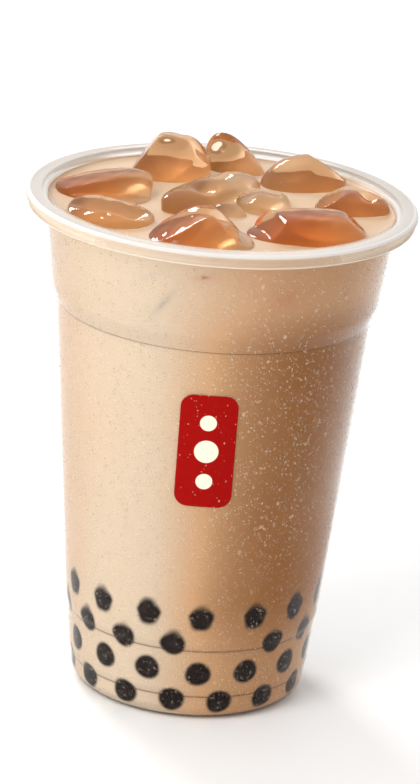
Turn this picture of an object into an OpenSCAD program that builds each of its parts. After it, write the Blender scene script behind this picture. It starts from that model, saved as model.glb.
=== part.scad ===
// Iced milk tea with tapioca pearls in a clear drawn plastic cup.
// Millimetres, +Z up. The origin is the centre of the foot ring, on the table.
// The front of the drink faces -Y.

/* [Cup] */
// Height from the table to the top of the lip
cup_h = 125; // [104:1:150]
// Diameter over the rolled lip
rim_d = 95; // [79:0.5:114]
// Diameter of the side at the foot, where its rounding ends
foot_d = 58; // [48:0.2:70]
// Thickness of the drawn wall
wall = 0.6; // [0.4:0.05:0.9]
// Radius that rounds the side into the foot
foot_round = 4.3; // [2.5:0.1:5]
// Width of the ring that the cup stands on
foot_ring_w = 2.2; // [1:0.1:4]
// Rise of the base panel inside the foot ring
base_lift = 1.2; // [0.6:0.1:1.8]

/* [Lip] */
// Width of the rolled lip, from its outside to the side below it
lip_w = 5.1; // [4.4:0.1:6.5]
// Height of the lip, from the hem of its skirt to its top
lip_h = 3.4; // [3:0.1:5]
// Thickness of the rolled lip
lip_wall = 0.8; // [0.6:0.05:1]
// Radius of the lip's outer corner
lip_round = 1.2; // [0.8:0.1:1.5]
// Radius of the lip's inner corner, over the drink
lip_in_round = 1.1; // [0.6:0.1:1.4]
// Radius under the lip, where the side turns out into it
roll_round = 0.6; // [0.3:0.05:0.9]
// Setback of the thin skirt below the lip's outer corner
skirt_in = 0.5; // [0.2:0.1:0.8]
// Radius of the bead along the hem of the skirt
hem_r = 0.35; // [0.25:0.05:0.45]

/* [Steps in the side] */
// Height of the upper band, from the lip's hem to the shoulder
band_h = 19.6; // [12:0.2:28]
// Height of the sloped shoulder below the upper band
shoulder_h = 4; // [2:0.2:7]
// How far the shoulder steps in
shoulder_in = 1.45; // [0.4:0.05:2]
// How far the upper band narrows from the lip to the shoulder
band_taper = 2.6; // [1:0.1:4]
// Height of the upper stacking step above the table
step_1_z = 19; // [16:0.5:26]
// How far the upper stacking step goes in
step_1_in = 0.4; // [0.2:0.05:0.9]
// Height of the lower stacking step above the table
step_2_z = 6.5; // [5.5:0.5:9]
// How far the lower stacking step goes in
step_2_in = 0.3; // [0.15:0.05:0.6]
// Height that each stacking step takes
step_h = 1.6; // [0.8:0.1:2.5]

/* [Drink] */
// Depth of the tea's surface below the top of the lip
tea_drop = 2.2; // [1.6:0.1:3]
// Gap between the tea and the cup's wall
tea_gap = 0.1; // [0.05:0.05:0.3]

/* [Tapioca pearls] */
// Diameter of a pearl
pearl_d = 8.4; // [6:0.1:10.2]
// Least room between neighbours in the lowest row
pearl_room = 0.9; // [0.8:0.1:3]
// Least room between a pearl and those of the next row
row_room = 0.7; // [0.7:0.1:3]
// Room below the lowest row
floor_room = 0.6; // [0.4:0.1:2]
// Film of tea between a pearl and the wall
pearl_film = 0.45; // [0.35:0.05:1]
// Largest shift of a pearl out of its even place, along its row or up and down
pearl_shift = 0.2; // [0:0.05:0.2]
// Gap between a pearl and the tea round it
pearl_gap = 0.1; // [0.05:0.05:0.15]

/* [Ice] */
// Size of the ice, with the spaces between, against what the mouth of the cup takes
ice_scale = 1; // [0.7:0.01:1]
// Height of the ice above or below its usual place in the drink
ice_lift = 0; // [-2:0.1:2]
// Gap between a piece of ice and the tea round it
ice_gap = 0.3; // [0.2:0.05:0.5]
// Height of the unevenness of the ice against its size
ice_lump = 0.07; // [0:0.01:0.1]

/* [Hidden] */
rim_r = rim_d / 2;
side_r = rim_r - lip_w;                       // side just under the lip
hem_z = cup_h - lip_h;
shoulder_z = hem_z - band_h;
band_r = side_r - band_taper;                 // foot of the upper band
body_r = band_r - shoulder_in;                // top of the body
foot_r = foot_d / 2;
body_z = shoulder_z - shoulder_h;
// the body and the two stacking bands share one slope from the foot to the shoulder
slope = (body_r - foot_r - step_1_in - step_2_in) / (body_z - foot_round);
skirt_r = rim_r - skirt_in;
tea_z = cup_h - tea_drop;
arc_steps = 8;
pearl_low_z = wall + floor_room + pearl_d / 2;
ice_foot_round = 0.95;                        // roundness of every piece below the tea
ice_round = 18;                               // points round a piece of ice
ice_rows = 12;                                // rings of points from its foot to its top
ice_mouth_r = 41.8;                           // mouth of the cup that the ice's sizes are for
ice_fit = ice_scale * (side_r - wall) / ice_mouth_r;

// Ice: [middle x, y], [half length, half width], [rise above the tea, depth below it], turn,
// [roundness of its plan, of its side view], [lean of its top in x, y], narrowing towards +x,
// depth of the hollow along its top, seed of its lumps. Lean and narrowing are shares.
ice_pieces = [
    [[-28.5, 3.8], [12.4, 8.4], [4.8, 14], 8, [0.75, 0.55], [0.04, 0.05], -0.25, 0, 11],
    [[-26.6, -16.8], [11.4, 8.0], [3.4, 14], -20, [0.80, 0.60], [0, 0], 0.10, 2.4, 23],
    [[-13.4, 25.0], [9.8, 8.6], [10.0, 13], -8, [0.85, 1.10], [0.10, 0.1], 0, 0, 37],
    [[3.0, 32.6], [7.2, 5.8], [9.0, 12], -12, [0.90, 1.15], [-0.55, 0], 0.20, 0, 41],
    [[-3.2, 4.8], [16.4, 6.0], [4.8, 13], 56, [0.80, 0.60], [0, 0.05], 0, 0, 53],
    [[10.4, 0.3], [6.6, 6.0], [3.8, 12], 10, [0.70, 0.60], [0, 0.08], 0, 0, 67],
    [[19.2, 22.6], [10.0, 7.0], [7.8, 12], 20, [0.85, 0.85], [0.15, 0.1], -0.15, 0, 71],
    [[31.5, 5.0], [8.4, 6.8], [4.6, 12], -6, [0.80, 0.60], [-0.15, 0.1], 0.20, 0, 83],
    [[-4.9, -28.8], [11.6, 9.2], [7.6, 13], 6, [0.85, 0.95], [0.2, 0.2], -0.25, 0, 97],
    [[21.2, -19.4], [13.4, 9.6], [5.4, 13], 16, [0.90, 0.65], [0, 0.1], -0.05, 0, 103],
    [[1.6, -7.0], [4.0, 3.4], [2.8, 6], 0, [1, 1], [0, 0], 0, 0, 109]];

pearl_rows = ["pearls_1", "pearls_2", "pearls_3", "pearls_4"];

cup_colour = [0.93, 0.93, 0.92, 0.35];
tea_colour = [0.90, 0.77, 0.62];
pearl_colour = [0.13, 0.07, 0.05];
ice_colour = [0.80, 0.50, 0.30, 0.8];

// Points of an arc: centre [r, z], radius, first and last angle.
function arc(c, r, a, b) =
    [for (i = [0 : arc_steps]) let (t = a + (b - a) * i / arc_steps) c + r * [cos(t), sin(t)]];

// Outside radius of the side at height z, below the lip, without its steps.
function slope_r(z) = foot_r + slope * (z - foot_round);

// Outline of the side, from the foot's rounding up to the hem's height.
side_line = [
    [slope_r(step_2_z), step_2_z],
    [slope_r(step_2_z + step_h) + step_2_in, step_2_z + step_h],
    [slope_r(step_1_z) + step_2_in, step_1_z],
    [slope_r(step_1_z + step_h) + step_2_in + step_1_in, step_1_z + step_h],
    [body_r, body_z],
    [band_r, shoulder_z],
    [side_r, hem_z]];

// Outline of the foot's underside and rounding, a distance t inside the outer face.
function foot_line(t) = concat(
    [[0, base_lift + t],
     [foot_r - foot_round - foot_ring_w - 3 * base_lift, base_lift + t],
     [foot_r - foot_round - foot_ring_w, t]],
    arc([foot_r - foot_round, foot_round], foot_round - t, -90, 0));

// The side's outline a distance t inside the outer face.
function side_at(t) = [for (p = side_line) [p[0] - t, p[1]]];

// Inner radius of the wall at height z above the foot's rounding.
function wall_r(z) = lookup(z, concat([[foot_round, foot_r - wall]],
    [for (p = side_line) [p[1], p[0] - wall]]));

// Inner radius of the cup at height z, the foot's rounding included.
function bowl_r(z) = z >= foot_round ? wall_r(z)
    : foot_r - foot_round + sqrt(pow(foot_round - wall, 2) - pow(foot_round - max(z, wall), 2));

// The lowest row is the shortest and sets how many pearls every row has. The rows lie half
// a step apart, so a pearl sits over the gap between the two below it.
pearl_low_r = pearl_reach(pearl_low_z);
pearl_count = floor(180 / asin((pearl_d + pearl_room) / 2 / pearl_low_r));
pearl_step = 360 / pearl_count;
pearl_rise = sqrt(pow(pearl_d + row_room, 2) - pow(2 * pearl_low_r * sin(pearl_step / 4), 2));

// One drawn wall from the base panel to the lip, which rolls out over a hanging skirt.
module cup() {
    hem = [skirt_r - hem_r, hem_z + hem_r];
    roll = [side_r + roll_round, cup_h - lip_wall - roll_round];
    lip_in = [side_r - wall + lip_in_round, cup_h - lip_in_round];
    color(cup_colour) rotate_extrude($fn = 96) polygon(concat(
        foot_line(0),
        side_at(0),
        arc(roll, roll_round, 180, 90),
        [[skirt_r - 2 * hem_r, cup_h - lip_wall]],
        arc(hem, hem_r, -180, 0),
        [[skirt_r, cup_h - lip_round - skirt_in]],
        arc([rim_r - lip_round, cup_h - lip_round], lip_round, 0, 90),
        arc(lip_in, lip_in_round, 90, 180),
        [for (i = [len(side_line) - 1 : -1 : 0]) side_at(wall)[i]],
        [for (i = [len(foot_line(wall)) - 1 : -1 : 0]) foot_line(wall)[i]]));
}

// Distance of a pearl's middle from the axis at height z: there it clears the wall by the
// film everywhere on its height, steps in the wall included.
function pearl_reach(z) = let (b = pearl_d / 2 + pearl_film)
    min([for (h = [-0.9 * b : b / 10 : 0.95 * b]) bowl_r(z + h) - sqrt(b * b - h * h)]);

// Places of the pearls in row k, counted from the bottom: [angle from the front, height].
// The third row has a gap near the front, where the pearls have drifted apart.
function pearls(k) = [for (i = [0 : pearl_count - 1]) if (!(k == 3 && i == 1))
    let (even = (i + (k % 2 == 0 ? 0.23 : -0.27)) * pearl_step,
         aside = pearl_shift / pearl_low_r * 180 / PI)
    [even + aside * sin(131 * i + 77 * k),
     pearl_low_z + (k - 1) * pearl_rise + pearl_shift * sin(89 * i + 151 * k)]];

// One pearl r in radius at a place from the list.
module pearl_at(place, r) {
    rotate([0, 0, place[0]]) translate([0, -pearl_reach(place[1]), place[1]]) sphere(r, $fn = 48);
}

module pearl_row(k) {
    color(pearl_colour) for (place = pearls(k)) pearl_at(place, pearl_d / 2);
}

// A number to a power that keeps its sign.
function spow(v, n) = sign(v) * pow(abs(v), n);

// Point of a piece of ice in its own axes, at angle a round it and angle e up from its waist,
// grown by g on every side. It is a rounded block, uneven by waves, that narrows along x,
// with a hollow along its top where one is asked for. Its waist lies at the tea's surface.
function ice_point(piece, g, a, e) =
    let (size = ice_fit * piece[1] + [g, g],
         heights = ice_fit * piece[2] + [g, g],
         q = [piece[4][0], e > 0 ? piece[4][1] : max(piece[4][1], ice_foot_round)],
         lean = piece[5], pinch = piece[6], seed = piece[8],
         wave = sin(2 * a + 57 * seed) + 0.7 * sin(3 * a + 31 * seed + 2 * e),
         across = spow(cos(e), q[1]) * (1 + ice_lump * wave * cos(e)),
         up = spow(sin(e), q[1]),
         x = spow(cos(a), q[0]) * across,
         y = spow(sin(a), q[0]) * across * (1 - pinch * x),
         crest = ice_lump * sin(150 * x + 43 * seed) * sin(120 * y + 19 * seed) * cos(e),
         dip = piece[7] * max(up, 0) * exp(-pow(2.4 * y, 2)) * max(0, 1 - pow(x, 4)),
         side = up > 0 ? up * (1 - 0.5 * pinch * x) : up)
    [size[0] * (x + lean[0] * max(up, 0)), size[1] * (y + lean[1] * max(up, 0)),
     (up > 0 ? heights[0] : heights[1]) * side * (1 + crest) - ice_fit * dip];

// One piece of ice in its place, grown by g on every side.
module ice_solid(k, g) {
    piece = ice_pieces[k - 1];
    points = concat(
        [for (j = [1 : ice_rows - 1], i = [0 : ice_round - 1])
            ice_point(piece, g, 360 * i / ice_round, -90 + 180 * j / ice_rows)],
        [ice_point(piece, g, 0, -90), ice_point(piece, g, 0, 90)]);
    foot = ice_round * (ice_rows - 1);
    last = foot - ice_round;
    faces = concat(
        [for (j = [0 : ice_rows - 3], i = [0 : ice_round - 1])
            let (n = (i + 1) % ice_round, a = j * ice_round, b = a + ice_round)
            each [[a + i, b + i, a + n], [a + n, b + i, b + n]]],
        [for (i = [0 : ice_round - 1]) let (n = (i + 1) % ice_round)
            each [[foot, i, n], [foot + 1, last + n, last + i]]]);
    translate([piece[0][0] * ice_fit, piece[0][1] * ice_fit, tea_z + ice_lift])
        rotate([0, 0, piece[3]]) polyhedron(points, faces);
}

module ice(k) {
    color(ice_colour) ice_solid(k, 0);
}

// The tea fills the cup to its level, cut round the ice and the pearls.
module tea() {
    color(tea_colour) difference() {
        rotate_extrude($fn = 96) polygon(concat(
            foot_line(wall + tea_gap),
            [for (p = side_at(wall + tea_gap)) if (p[1] < hem_z) p],
            [[side_r - wall - tea_gap, hem_z], [side_r - wall - tea_gap, tea_z], [0, tea_z]]));
        for (k = [1 : len(pearl_rows)], place = pearls(k)) pearl_at(place, pearl_d / 2 + pearl_gap);
        for (k = [1 : len(ice_pieces)]) ice_solid(k, ice_gap);
    }
}

cup();
tea();
for (k = [1 : len(pearl_rows)]) pearl_row(k);
for (k = [1 : len(ice_pieces)]) ice(k);
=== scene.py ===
"""Iced milk tea with tapioca pearls in a clear plastic cup, made round the part's own frame.

Lengths are in metres, +Z is up, and the origin is the middle of the cup's foot on the table.
The front of the drink faces -Y. Angles round the drink start at the front and grow towards +X.
"""

import math

import bpy
import numpy as np
from mathutils import Matrix, Vector


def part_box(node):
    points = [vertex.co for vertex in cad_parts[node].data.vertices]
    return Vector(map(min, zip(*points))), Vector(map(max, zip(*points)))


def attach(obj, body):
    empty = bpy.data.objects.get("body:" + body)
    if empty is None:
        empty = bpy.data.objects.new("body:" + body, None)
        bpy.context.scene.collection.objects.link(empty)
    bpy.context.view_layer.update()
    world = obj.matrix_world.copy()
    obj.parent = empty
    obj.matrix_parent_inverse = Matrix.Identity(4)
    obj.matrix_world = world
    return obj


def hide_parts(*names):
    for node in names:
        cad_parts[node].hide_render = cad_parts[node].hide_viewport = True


bl_info = {
    "name": "Iced Milk Tea",
    "version": (1, 0, 0),
    "blender": (4, 5, 0),
    "location": "3D View > Sidebar > Drink",
    "description": "Builds an iced milk tea with tapioca pearls in a clear plastic cup",
    "category": "Add Mesh",
}

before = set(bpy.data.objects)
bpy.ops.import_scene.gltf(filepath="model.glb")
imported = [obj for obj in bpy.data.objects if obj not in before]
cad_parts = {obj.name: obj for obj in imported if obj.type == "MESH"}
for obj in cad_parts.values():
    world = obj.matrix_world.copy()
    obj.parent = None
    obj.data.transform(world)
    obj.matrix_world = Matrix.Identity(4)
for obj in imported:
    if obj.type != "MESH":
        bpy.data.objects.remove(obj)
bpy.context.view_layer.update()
MM = 0.001

CUP_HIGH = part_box("cup")[1]
CUP_H = CUP_HIGH[2] / MM
RIM_R = CUP_HIGH[0] / MM

# Outline of the cup, in millimetres, from the same sizes as the part.
WALL = 0.6
BASE_LIFT = 1.2
FOOT_R = 29.0
FOOT_ROUND = 4.3
FOOT_RING_W = 2.2
SIDE_R = RIM_R - 5.1
HEM_Z = CUP_H - 3.4
SHOULDER_Z = HEM_Z - 19.6
BAND_R = SIDE_R - 2.6
BODY_R = BAND_R - 1.45
BODY_Z = SHOULDER_Z - 4.0
STEP_1_Z, STEP_1_IN = 19.0, 0.4
STEP_2_Z, STEP_2_IN = 6.5, 0.3
STEP_H = 1.6
SLOPE = (BODY_R - FOOT_R - STEP_1_IN - STEP_2_IN) / (BODY_Z - FOOT_ROUND)
TEA_Z = CUP_H - 2.2
SPLIT_Z = BODY_Z          # the tea is made in two pieces that meet here
INTO_WALL = 0.3           # how far the tea reaches into the wall, so that no air shows

# Lip, in millimetres: its thickness, outer and inner rounding, the roll under it, and the
# distance of the skirt inside the rim with the rounding of the skirt's hem.
LIP_WALL = 0.8
LIP_ROUND = 1.2
MOUTH_ROUND = 1.1
ROLL_ROUND = 0.6
SKIRT_IN = 0.5
HEM_ROUND = 0.35

FINE_RINGS_TO = 38        # height up to which the tea's side carries the pearls' discs
POCKET_IN = 0.15          # how far a pocket in the tea lies inside its ice, so that no air shows
FEWEST_CUT_FACES = 5000   # a surface of tea with all its pockets has more faces than this
DROP_RISE = 0.30          # height of a drop against its radius
BEADS_PER_METRE = 900.0   # beads of mist too small to be pieces of their own
BEAD_REACH = 0.36         # radius of such a bead against their spacing
LIP_FROM, LIP_FULL = 121.2, 121.9       # heights between which the clear wall turns milky
SHEEN_SIDE = 1.2          # angle round the cup, in radians, of a painted sheen standing in for a rim light caught in the mist
STRONG_AND_SHADED_SIDE = math.radians(50)          # where the tea is darkest: partly stronger tea, partly painted shade away from the key lamp
BADGE_DOTS = ((7.4 * MM, 2.0 * MM), (0.0, 2.9 * MM), (-7.8 * MM, 2.0 * MM))  # height, radius
INK_EDGE = 0.08 * MM

PEARL_D = 8.4
PEARL_ROOM = 0.9
ROW_ROOM = 0.7
FLOOR_ROOM = 0.6
PEARL_FILM = 0.45
PEARL_SHIFT = 0.2
PEARL_ROWS = 4

# Ice, in millimetres: middle, half sizes, rise above and depth below the tea, turn in degrees,
# roundness of plan and side view, lean of the top, narrowing, depth of hollow, seed.
ICE_FOOT_ROUND = 0.95
ICE_LUMP = 0.07
CREASE = 0.28             # rounding of the crease between two facets
RUFFLE = 0.07             # height of the melted skin's ripples
ICE = (
    ((-28.5, 3.8), (12.4, 8.4), (4.8, 14), 8, (0.75, 0.55), (0.04, 0.05), -0.25, 0, 11),
    ((-26.6, -16.8), (11.4, 8.0), (3.4, 14), -20, (0.80, 0.60), (0, 0), 0.10, 2.4, 23),
    ((-13.4, 25.0), (9.8, 8.6), (10.0, 13), -8, (0.85, 0.85), (0.04, 0.1), 0, 0, 37),
    ((3.0, 32.6), (7.2, 5.8), (9.0, 12), -12, (0.90, 1.15), (-0.55, 0), 0.20, 0, 41),
    ((-3.2, 4.8), (16.4, 6.0), (4.8, 13), 56, (0.80, 0.60), (0, 0.05), 0, 0, 53),
    ((10.4, 0.3), (6.6, 6.0), (3.8, 12), 10, (0.70, 0.60), (0, 0.08), 0, 0, 67),
    ((19.2, 22.6), (10.0, 7.0), (7.8, 12), 20, (0.85, 0.85), (0.15, 0.1), -0.15, 0, 71),
    ((31.5, 5.0), (8.4, 6.8), (4.6, 12), -6, (0.80, 0.60), (-0.15, 0.1), 0.20, 0, 83),
    ((-4.9, -28.8), (11.6, 9.2), (7.6, 13), 6, (0.85, 0.95), (0.2, 0.2), -0.25, 0, 97),
    ((21.2, -19.4), (13.4, 9.6), (5.4, 13), 16, (0.90, 0.65), (0, 0.1), -0.05, 0, 103),
    ((1.6, -7.0), (4.0, 3.4), (2.8, 6), 0, (1, 1), (0, 0), 0, 0, 109),
)

# Finer shape of each piece of ice, in its own axes: facets (height, rise towards +x, rise
# towards +y), dents (x, y, reach, depth), and depth of its pocket in the tea at its +x and
# its -x end, which sets how much of its colour shows there.
ICE_SHAPES = (
    (((3.6, 0.20, 0.0), (4.9, -0.03, 0.10), (6.0, 0.0, 1.1)), (), (1.2, 12)),
    (((4.2, 0.05, 0.35),), ((6.5, -1.5, 2.6, 1.3),), (4, 9)),
    (((9.6, -0.05, -0.16), (10.6, 0.10, 1.15), (13.5, 1.35, 0.1), (14.5, -1.1, 0.1)),
     ((3.0, -4.5, 2.6, 1.0),), (7, 8)),
    (((7.0, -0.85, 0.0), (11.5, 0.1, 1.3), (9.6, 0.1, -0.5)), (), (5, 10)),
    (((6.2, -0.06, 0.5), (5.4, 0.04, -0.35)), ((-4.5, -1.5, 3.0, 2.1), (7.0, 1.4, 2.8, 1.8)),
     (1.0, 7)),
    (((4.2, -0.05, 0.4), (4.6, 0.5, 0.0)), ((2.6, 1.0, 2.0, 0.9),), (1.5, 4)),
    (((8.6, 0.42, 0.75), (9.0, -0.70, -0.1), (8.4, 0.15, -0.45)), ((-2.5, -3.0, 2.6, 0.7),),
     (9, 5)),
    (((5.2, -0.22, 0.35), (5.6, 0.6, 0.0)), ((3.9, -0.5, 1.8, 1.6),), (8, 8)),
    (((6.3, 0.56, 0.12), (9.4, -0.85, 0.0), (11.2, 0.05, 1.0)), ((2.6, 1.6, 3.0, 2.0),), (1.0, 13)),
    (((15.2, 1.30, 0.2), (5.6, -0.02, 0.08), (8.4, 0.0, 0.75), (12.0, -0.8, 0.1)), (), (5, 13)),
    ((), (), (3, 4)),
)

DARK_ICE = (1, 8, 9, 10)  # pieces that have soaked up the most tea
PALE_STEEP, DARK_STEEP = 56.0, 108.0    # how strongly a piece colours the light in it


# ---------------------------------------------------------------- settings


SHADE = {"size": 3, "min": 0.0, "max": 1.0}       # every colour: three shares from 0 to 1


class DRINK_PG_colours(bpy.types.PropertyGroup):
    """Colours of the drink"""

    milk: bpy.props.FloatVectorProperty(
        name="Milky Tea",
        description="Tea where the milk is thickest",
        subtype="COLOR",
        default=(0.745, 0.61, 0.465),
        **SHADE,
    )
    blend: bpy.props.FloatVectorProperty(
        name="Mixed Tea",
        description="Tea halfway between milky and strong",
        subtype="COLOR",
        default=(0.75, 0.465, 0.255),
        **SHADE,
    )
    # Darkest tea colour: stronger tea darkened further by painted shade, for the side away from the
    # key lamp.
    brew_and_shade: bpy.props.FloatVectorProperty(
        name="Strong Tea And Shade",
        description="Tea where the milk is thinnest",
        subtype="COLOR",
        default=(0.37, 0.148, 0.036),
        **SHADE,
    )
    caramel: bpy.props.FloatVectorProperty(
        name="Under The Ice",
        description="Tea seen down through the ice",
        subtype="COLOR",
        default=(0.95, 0.64, 0.34),
        **SHADE,
    )
    pearl: bpy.props.FloatVectorProperty(
        name="Pearl",
        description="Cooked tapioca",
        subtype="COLOR",
        default=(0.022, 0.014, 0.012),
        **SHADE,
    )
    badge: bpy.props.FloatVectorProperty(
        name="Badge",
        description="Plain badge printed on the cup",
        subtype="COLOR",
        default=(0.27, 0.004, 0.003),
        **SHADE,
    )
    print_ink: bpy.props.FloatVectorProperty(
        name="Badge Dots",
        description="Dots and line printed on the badge",
        subtype="COLOR",
        default=(0.86, 0.74, 0.60),
        **SHADE,
    )
    lip: bpy.props.FloatVectorProperty(
        name="Lip",
        description="Frosted plastic of the rolled lip",
        subtype="COLOR",
        default=(0.69, 0.66, 0.63),
        **SHADE,
    )
    floor: bpy.props.FloatVectorProperty(
        name="Floor",
        description="Plain floor under the drink",
        subtype="COLOR",
        default=(0.86, 0.86, 0.86),
        **SHADE,
    )


class DRINK_PG_sizes(bpy.types.PropertyGroup):
    """Sizes and counts that the looks use"""

    round_steps: bpy.props.IntProperty(
        name="Steps Round",
        description="Points round the cup",
        default=160,
        min=48,
        max=256,
    )
    mist_count: bpy.props.IntProperty(
        name="Mist Drops",
        description="Fine drops of water on the outside of the cup",
        default=10500,
        min=0,
        max=15000,
    )
    mist_radius: bpy.props.FloatProperty(
        name="Mist Drop Radius",
        description="Usual radius of a fine drop",
        subtype="DISTANCE",
        unit="LENGTH",
        default=0.26 * MM,
        min=0.05 * MM,
        max=0.5 * MM,
    )
    drop_count: bpy.props.IntProperty(
        name="Large Drops",
        description="Large drops of water on the outside of the cup",
        default=110,
        min=0,
        max=600,
    )
    badge_width: bpy.props.FloatProperty(
        name="Badge Width",
        description="Width of the badge round the cup",
        subtype="DISTANCE",
        unit="LENGTH",
        default=13.8 * MM,
        min=8 * MM,
        max=30 * MM,
    )
    badge_height: bpy.props.FloatProperty(
        name="Badge Height",
        description="Height of the badge up the wall",
        subtype="DISTANCE",
        unit="LENGTH",
        default=29.0 * MM,
        min=8 * MM,
        max=50 * MM,
    )
    badge_z: bpy.props.FloatProperty(
        name="Badge Centre Height",
        description="Height of the middle of the badge above the table",
        subtype="DISTANCE",
        unit="LENGTH",
        default=72.5 * MM,
        min=30 * MM,
        max=90 * MM,
    )
    badge_turn: bpy.props.FloatProperty(
        name="Badge Turn",
        description="Angle of the badge round the cup from the front",
        subtype="ANGLE",
        unit="ROTATION",
        default=math.radians(1.3),
        min=-math.pi,
        max=math.pi,
    )


# ---------------------------------------------------------------- outlines


def arc(centre, radius, first, last, steps=12):
    """Points of an arc: the centre plus the radius turned from the first angle to the last."""
    a = np.radians(np.linspace(first, last, steps + 1))
    return [(centre[0] + radius * c, centre[1] + radius * s) for c, s in zip(np.cos(a), np.sin(a))]


def eased(points, reach):
    """The points with each inner corner cut back by the reach and bridged by a parabola."""
    out = [points[0]]
    for before, here, after in zip(points, points[1:], points[2:]):
        before, here, after = np.array(before), np.array(here), np.array(after)
        back, on = before - here, after - here
        cut = min(reach, 0.4 * np.linalg.norm(back), 0.4 * np.linalg.norm(on))
        a = here + back / np.linalg.norm(back) * cut
        b = here + on / np.linalg.norm(on) * cut
        for t in np.linspace(0, 1, 5):
            out.append(tuple((1 - t) ** 2 * a + 2 * t * (1 - t) * here + t * t * b))
    return out + [points[-1]]


def slope_r(z):
    """Outside radius of the plain side at height z."""
    return FOOT_R + SLOPE * (z - FOOT_ROUND)


SIDE_LINE = [
    (slope_r(STEP_2_Z), STEP_2_Z),
    (slope_r(STEP_2_Z + STEP_H) + STEP_2_IN, STEP_2_Z + STEP_H),
    (slope_r(STEP_1_Z) + STEP_2_IN, STEP_1_Z),
    (slope_r(STEP_1_Z + STEP_H) + STEP_2_IN + STEP_1_IN, STEP_1_Z + STEP_H),
    (BODY_R, BODY_Z),
    (BAND_R, SHOULDER_Z),
    (SIDE_R, HEM_Z),
]


def foot_line(t):
    """Outline of the foot a distance t inside its outer face, from the axis outwards."""
    return [
        (0.0, BASE_LIFT + t),
        (FOOT_R - FOOT_ROUND - FOOT_RING_W - 3 * BASE_LIFT, BASE_LIFT + t),
        (FOOT_R - FOOT_ROUND - FOOT_RING_W, t),
    ] + arc((FOOT_R - FOOT_ROUND, FOOT_ROUND), FOOT_ROUND - t, -90, 0, 10)


def side_at(t, top=None):
    """Eased outline of the side a distance t inside its outer face, up to a height."""
    line = eased([(FOOT_R - t, FOOT_ROUND)] + [(r - t, z) for r, z in SIDE_LINE], 0.7)[1:]
    if top is None:
        return line
    kept = [p for p in line if p[1] < top - 1e-6]
    radius = float(np.interp(top, [p[1] for p in line], [p[0] for p in line]))
    return kept + [(radius, top)]


def outer_r(z):
    """Outside radius of the cup at heights z, below the lip."""
    line = np.array(foot_line(0.0)[3:] + side_at(0.0))
    return np.interp(z, line[:, 1], line[:, 0])


def filled(line, gap):
    """The outline with points added so that no two lie further apart than the gap."""
    out = [line[0]]
    for a, b in zip(line, line[1:]):
        steps = max(1, math.ceil(math.dist(a, b) / gap))
        out += [
            (a[0] + (b[0] - a[0]) * k / steps, a[1] + (b[1] - a[1]) * k / steps)
            for k in range(1, steps + 1)
        ]
    return out


# ---------------------------------------------------------------- meshes


def wrapped(grid, foot, head):
    """Faces of a grid that closes on itself along its rows, with a fan to a point at each end.

    Rows run from foot to head. The corners go round so that the faces point outwards.
    """
    rows, columns = grid.shape[:2]
    starts, ring = np.arange(rows - 1)[:, None] * columns, np.arange(columns)
    after = np.roll(ring, -1)
    a, b = (starts + ring).ravel(), (starts + after).ravel()
    faces = np.column_stack([a, b, b + columns, a + columns]).tolist()
    count, top = rows * columns, (rows - 1) * columns
    faces += np.column_stack([after, ring, np.full(columns, count)]).tolist()
    faces += np.column_stack([top + ring, top + after, np.full(columns, count + 1)]).tolist()
    return np.vstack([grid.reshape(-1, 3), [foot], [head]]), faces


def revolved(line, columns):
    """Surface of revolution of an outline that starts and ends on the axis.

    x = r sin a, y = -r cos a and z is the outline's height, for the angle a round the axis.
    """
    line = np.array(line) * MM
    a = np.linspace(0, 2 * math.pi, columns, endpoint=False)[None, :]
    r, z = line[1:-1, :1], line[1:-1, 1:]
    grid = np.stack([r * np.sin(a), -r * np.cos(a), z + 0 * a], axis=-1)
    return wrapped(grid, (0, 0, line[0, 1]), (0, 0, line[-1, 1]))


def joined(parts):
    """Points and faces of several closed surfaces as one."""
    points, faces, start = [], [], 0
    for p, f in parts:
        points.append(p)
        faces += [[i + start for i in face] for face in f]
        start += len(p)
    return np.vstack(points), faces


def solid(name, points, faces, sharp=None):
    """A smooth object from points and faces, with edges sharper than an angle left crisp."""
    mesh = bpy.data.meshes.new(name)
    mesh.from_pydata(points.tolist(), [], faces)
    mesh.polygons.foreach_set("use_smooth", np.ones(len(mesh.polygons), bool))
    if sharp:
        mesh.set_sharp_from_angle(angle=math.radians(sharp))
    mesh.update()
    obj = bpy.data.objects.new(name, mesh)
    bpy.context.collection.objects.link(obj)
    return obj


def settled(obj):
    """Puts the result of an object's modifiers into its mesh."""
    graph = bpy.context.evaluated_depsgraph_get()
    mesh = bpy.data.meshes.new_from_object(obj.evaluated_get(graph))
    obj.modifiers.clear()
    obj.data = mesh


def dressed(obj, finish, nodes=()):
    """Gives a piece its finish, fixes it to the drink and lets it stand for CAD nodes."""
    obj.data.materials.clear()
    obj.data.materials.append(finish.material)
    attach(obj, "root")
    if nodes:
        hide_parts(*nodes)


# ---------------------------------------------------------------- shaders


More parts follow.
